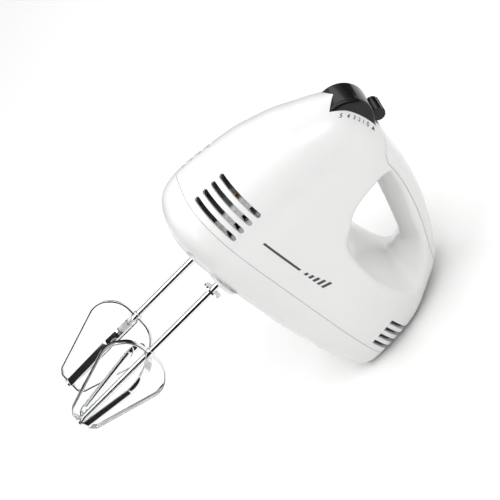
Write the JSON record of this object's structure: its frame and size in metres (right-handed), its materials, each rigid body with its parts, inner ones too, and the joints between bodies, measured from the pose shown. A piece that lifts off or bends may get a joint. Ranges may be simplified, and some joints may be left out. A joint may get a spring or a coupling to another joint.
{
  "type": "hand mixer",
  "caption": "White hand mixer with a closed loop handle, thumb speed lever, vented nose and chromed wire-cage beaters on long shafts, standing on its heel.",
  "frame": {"origin": "centre of the flat heel face that the mixer stands on", "axes": "+Z from the heel to the nose, +X up when the mixer is in use, -Y to the mixer's left side; the beaters point along -X"},
  "size_m": [0.2766, 0.0911, 0.1769],
  "materials": {
    "housing_plastic": "white gloss moulding",
    "black_plastic": "black gloss moulding",
    "chrome": "bright chrome plating",
    "steel": "plain steel",
    "lamination": "stacked electrical steel",
    "zinc": "die-cast alloy",
    "copper": "enamelled copper wire",
    "bronze": "oiled bronze",
    "brass": "brass",
    "nylon": "natural nylon",
    "dark_plastic": "dark moulding",
    "carbon": "carbon",
    "rubber": "soft white rubber",
    "wire": "insulated lead"
  },
  "bodies": {
    "housing": {"upper_housing": "housing_plastic", "lower_housing": "housing_plastic", "handle_cover": "housing_plastic", "housing_screws": "steel", "bracket_screws": "steel", "stator_screws": "steel", "gear_bracket": "zinc", "upper_spindle_bushes": "bronze", "lower_spindle_bushes": "bronze", "stator_core": "lamination", "field_coils": "copper", "front_bearing": "bronze", "rear_bearing": "bronze", "rear_motor_bracket": "zinc", "brush_holders": "brass", "carbon_brushes": "carbon", "brush_springs": "steel", "lever_pin": "steel", "ejector_spring": "steel", "speed_switch": "dark_plastic", "switch_contacts": "brass", "cord_gland": "rubber", "lead_wires": "wire"},
    "armature": {"motor_shaft": "steel", "worm": "steel", "armature_core": "lamination", "armature_coils": "copper", "commutator": "copper", "cooling_fan": "dark_plastic"},
    "left_drive": {"left_spindle": "steel", "left_worm_wheel": "nylon"},
    "right_drive": {"right_spindle": "steel", "right_worm_wheel": "nylon"},
    "left_beater": {"left_beater_shaft": "chrome", "left_beater_outer_band": "chrome", "left_beater_inner_band": "chrome", "left_beater_collar": "chrome"},
    "right_beater": {"right_beater_shaft": "chrome", "right_beater_outer_band": "chrome", "right_beater_inner_band": "chrome"},
    "lever": {"speed_lever": "black_plastic"},
    "ejector_fork": {"ejector": "nylon"}
  },
  "joints": [
    {"name": "motor_spin", "type": "hinge", "parent": "housing", "child": "armature", "pos_m": [-0.006, 0, 0.065], "axis": [0, 0, 1], "continuous": true},
    {"name": "left_beater_spin", "type": "hinge", "parent": "housing", "child": "left_drive", "pos_m": [-0.006, -0.0206, 0.121], "axis": [1, 0, 0], "continuous": true},
    {"name": "right_beater_spin", "type": "hinge", "parent": "housing", "child": "right_drive", "pos_m": [-0.006, 0.0206, 0.121], "axis": [1, 0, 0], "continuous": true},
    {"name": "left_beater_pull", "type": "slide", "parent": "left_drive", "child": "left_beater", "axis": [-1, 0, 0], "range_m": [0, 0.054]},
    {"name": "right_beater_pull", "type": "slide", "parent": "right_drive", "child": "right_beater", "axis": [-1, 0, 0], "range_m": [0, 0.054]},
    {"name": "speed_lever_turn", "type": "hinge", "parent": "housing", "child": "lever", "pos_m": [0.0773, 0, 0.1304], "axis": [0, -1, 0], "range_deg": [-10, 62]},
    {"name": "ejector_press", "type": "slide", "parent": "housing", "child": "ejector_fork", "axis": [-1, 0, 0], "range_m": [0, 0.003], "stiffness_N_per_m": 300, "springref_m": -0.002, "deforming": ["ejector_spring"]}
  ],
  "couplings": [
    {"joint": "left_beater_spin", "follows": "motor_spin", "ratio": 0.058824},
    {"joint": "right_beater_spin", "follows": "motor_spin", "ratio": -0.058824}
  ]
}
